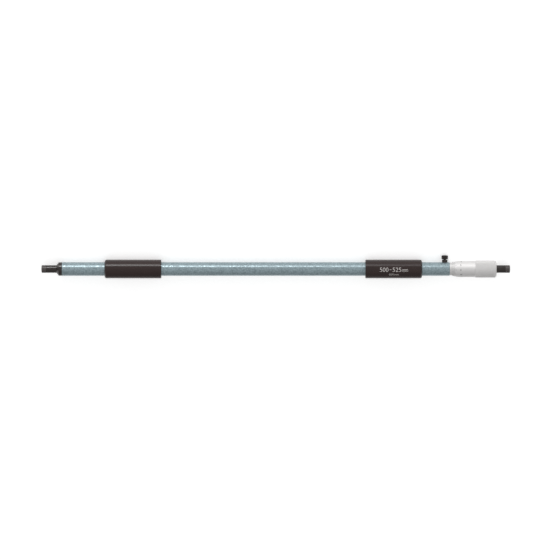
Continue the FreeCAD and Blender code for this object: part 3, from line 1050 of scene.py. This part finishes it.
@dataclass(frozen=True)
class Lamp:
    """A flat lamp that faces the instrument.

    Attributes:
        name: Name of the lamp.
        span: Its two ends along the instrument, in metres.
        radiance: How bright it looks, where 1 is white.
        elevation: Height above the horizon on the clamp's side, in degrees.
        distance: Distance from the instrument, in metres.
        height: Height of the lamp, in metres.
    """

    name: str
    span: Span
    radiance: float
    elevation: float = 12.0
    distance: float = 3.0
    height: float = 0.52

    def place(self, axis: Axis) -> None:
        """Put the lamp in the scene.

        Args:
            axis: The instrument's axis.
        """
        width = self.span[1] - self.span[0]
        light = bpy.data.lights.new(self.name, "AREA")
        light.shape = "RECTANGLE"
        light.size, light.size_y = width, self.height
        light.energy = self.radiance * math.pi * width * self.height
        lamp = bpy.data.objects.new(self.name, light)
        rise = math.radians(self.elevation)
        away = Vector((0, math.cos(rise), math.sin(rise)))
        lamp.location = Vector((sum(self.span) / 2, axis.y, axis.z)) + away * self.distance
        along = Vector((1, 0, 0))
        lamp.rotation_mode = "QUATERNION"
        lamp.rotation_quaternion = Matrix((along, away.cross(along), away)).transposed().to_quaternion()
        bpy.context.scene.collection.objects.link(lamp)


@dataclass
class Studio:
    """The pale floor, the soft light and the camera.

    Attributes:
        axis: The instrument's axis.
        floor_side: Side of the floor, in metres.
        floor_colour: Its linear colour.
        floor_fibres: Repeats of its grain, a metre.
        floor_mottle: How much paler its grain gets.
        floor_lift: What the camera and reflections see on top of its own light.
        sky: Radiance of the room by the angle from the clamp's side over the top, in degrees.
        end_sky: Radiance past the two ends.
        end_spread: Share of the direction along the instrument at which that starts and is full.
        lens: Focal length of the camera, in millimetres.
        sensor: Width of its sensor, in millimetres.
        clip: Nearest and farthest that it sees, in metres.
        frame_width: Width of the picture at the instrument, in metres.
        aim_right: How far right of the middle it aims, in metres.
        aim_down: How far below the axis it aims, in metres.
    """

    axis: Axis
    floor_side: float = 30.0
    floor_colour: Colour = (0.93, 0.93, 0.93)
    floor_fibres: float = 900.0
    floor_mottle: float = 1.01
    floor_lift: float = 0.46
    sky: tuple[Span, ...] = (
        (0, 0.45), (20, 0.68), (50, 0.8), (68, 0.76), (82, 0.69),
        (97, 0.62), (112, 0.56), (130, 0.5), (180, 0.4))
    end_sky: float = 0.62
    end_spread: Span = (0.55, 0.97)
    lens: float = 300.0
    sensor: float = 36.0
    clip: Span = (0.05, 100.0)
    frame_width: float = 560 * 1.0666 * MM
    aim_right: float = 4.53 * MM
    aim_down: float = 11.73 * MM

    def build(self) -> None:
        """Lay the floor, hang the lamps and set up the camera."""
        self.lay_floor()
        self.light_sky()
        for lamp in [
            Lamp("window_left", (-0.95, -0.15), 21.0),
            Lamp("window_right", (-0.15, 0.12), 9.0),
        ]:
            lamp.place(self.axis)
        self.set_camera()

    def lay_floor(self) -> None:
        """Lay the floor: pale, and lifted to white where the camera or a reflection sees it."""
        half = self.floor_side / 2
        mesh = bpy.data.meshes.new("floor")
        corners = [(-half, -half, 0), (half, -half, 0), (half, half, 0), (-half, half, 0)]
        mesh.from_pydata(corners, [], [(0, 1, 2, 3)])
        floor = bpy.data.objects.new("floor", mesh)
        bpy.context.scene.collection.objects.link(floor)
        recipe = Recipe("floor_paper")
        recipe.set(Roughness=1.0, Specular_IOR_Level=0.0)
        fibres = recipe.noise(recipe.object_place, self.floor_fibres, 3.0)
        paler = tuple(min(1.0, channel * self.floor_mottle) for channel in self.floor_colour)
        recipe.feed("Base Color", recipe.blend(fibres, self.floor_colour, paler))
        rays = recipe.node("ShaderNodeLightPath")
        seen = recipe.node("ShaderNodeMath", operation="ADD", use_clamp=True)
        recipe.link(rays.outputs["Is Camera Ray"], seen.inputs[0])
        recipe.link(rays.outputs["Is Glossy Ray"], seen.inputs[1])
        through = recipe.node("ShaderNodeMath", operation="ADD", use_clamp=True)
        recipe.link(seen.outputs["Value"], through.inputs[0])
        recipe.link(rays.outputs["Is Transmission Ray"], through.inputs[1])
        glow = recipe.node("ShaderNodeEmission")
        lift = recipe.spread(through.outputs["Value"], (0, 1), 0, self.floor_lift)
        recipe.link(lift, glow.inputs["Strength"])
        both = recipe.node("ShaderNodeAddShader")
        recipe.link(recipe.shader.outputs["BSDF"], both.inputs[0])
        recipe.link(glow.outputs["Emission"], both.inputs[1])
        output = recipe.tree.nodes["Material Output"]
        recipe.link(both.outputs["Shader"], output.inputs["Surface"])
        mesh.materials.append(recipe.material)

    def light_sky(self) -> None:
        """Light the room: palest above the clamp's side, dimmer beyond, and even past the two ends."""
        world = bpy.data.worlds.new("studio")
        bpy.context.scene.world = world
        world.use_nodes = True
        nodes, links = world.node_tree.nodes, world.node_tree.links
        way = nodes.new("ShaderNodeTexCoord")
        parts = nodes.new("ShaderNodeSeparateXYZ")
        links.new(way.outputs["Generated"], parts.inputs["Vector"])
        turn = nodes.new("ShaderNodeMath")
        turn.operation = "ARCTAN2"
        links.new(parts.outputs["Z"], turn.inputs[0])
        links.new(parts.outputs["Y"], turn.inputs[1])
        share = nodes.new("ShaderNodeMath")
        share.operation = "DIVIDE"
        links.new(turn.outputs["Value"], share.inputs[0])
        share.inputs[1].default_value = math.pi
        ramp = nodes.new("ShaderNodeValToRGB")
        ramp.color_ramp.interpolation = "B_SPLINE"
        links.new(share.outputs["Value"], ramp.inputs["Fac"])
        stops = ramp.color_ramp.elements
        for index, (elevation, radiance) in enumerate(self.sky):
            stop = stops[index] if index < 2 else stops.new(1.0)
            stop.position = elevation / 180
            stop.color = (radiance, radiance, radiance, 1)
        along = nodes.new("ShaderNodeMath")
        along.operation = "ABSOLUTE"
        links.new(parts.outputs["X"], along.inputs[0])
        near_end = nodes.new("ShaderNodeMapRange")
        near_end.interpolation_type = "SMOOTHSTEP"
        links.new(along.outputs["Value"], near_end.inputs["Value"])
        near_end.inputs["From Min"].default_value, near_end.inputs["From Max"].default_value = self.end_spread
        evened = nodes.new("ShaderNodeMix")
        evened.data_type = "RGBA"
        links.new(near_end.outputs["Result"], evened.inputs["Factor"])
        first, second = [socket for socket in evened.inputs if socket.type == "RGBA"]
        links.new(ramp.outputs["Color"], first)
        second.default_value = (self.end_sky, self.end_sky, self.end_sky, 1)
        mixed = next(socket for socket in evened.outputs if socket.type == "RGBA")
        links.new(mixed, nodes["Background"].inputs["Color"])

    def set_camera(self) -> None:
        """Aim the camera square at the printed side, with the clamp knob up."""
        camera = bpy.data.cameras.new("camera")
        camera.lens = self.lens
        camera.sensor_width = self.sensor
        camera.clip_start, camera.clip_end = self.clip
        eye = bpy.data.objects.new("camera", camera)
        distance = self.frame_width * self.lens / self.sensor
        aim = Vector((self.aim_right, self.axis.y, self.axis.z)) - self.axis.up * self.aim_down
        eye.location = aim + self.axis.front * distance
        turn = Matrix((Vector((1, 0, 0)), self.axis.up, self.axis.front)).transposed()
        eye.rotation_mode = "QUATERNION"
        eye.rotation_quaternion = turn.to_quaternion()
        bpy.context.scene.collection.objects.link(eye)
        bpy.context.scene.camera = eye
        bpy.context.scene.view_settings.view_transform = "Standard"


def main() -> None:
    """Dress the instrument piece by piece and set up the studio."""
    logging.basicConfig(level=logging.INFO, format="%(name)s: %(message)s")
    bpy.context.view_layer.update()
    axis = Axis.from_frame()
    finishes = Finishes()
    finishes.make()
    Carcass().dress(finishes)
    for part in [Thimble(axis), Sleeve(axis), RangePrint(axis)]:
        for piece in part.build(finishes):
            LOG.info("%s: made %s", type(part).__name__.lower(), piece.name)
    Studio(axis).build()
    LOG.info("studio: floor, lamps and camera are in place")


if __name__ == "__main__":
    main()
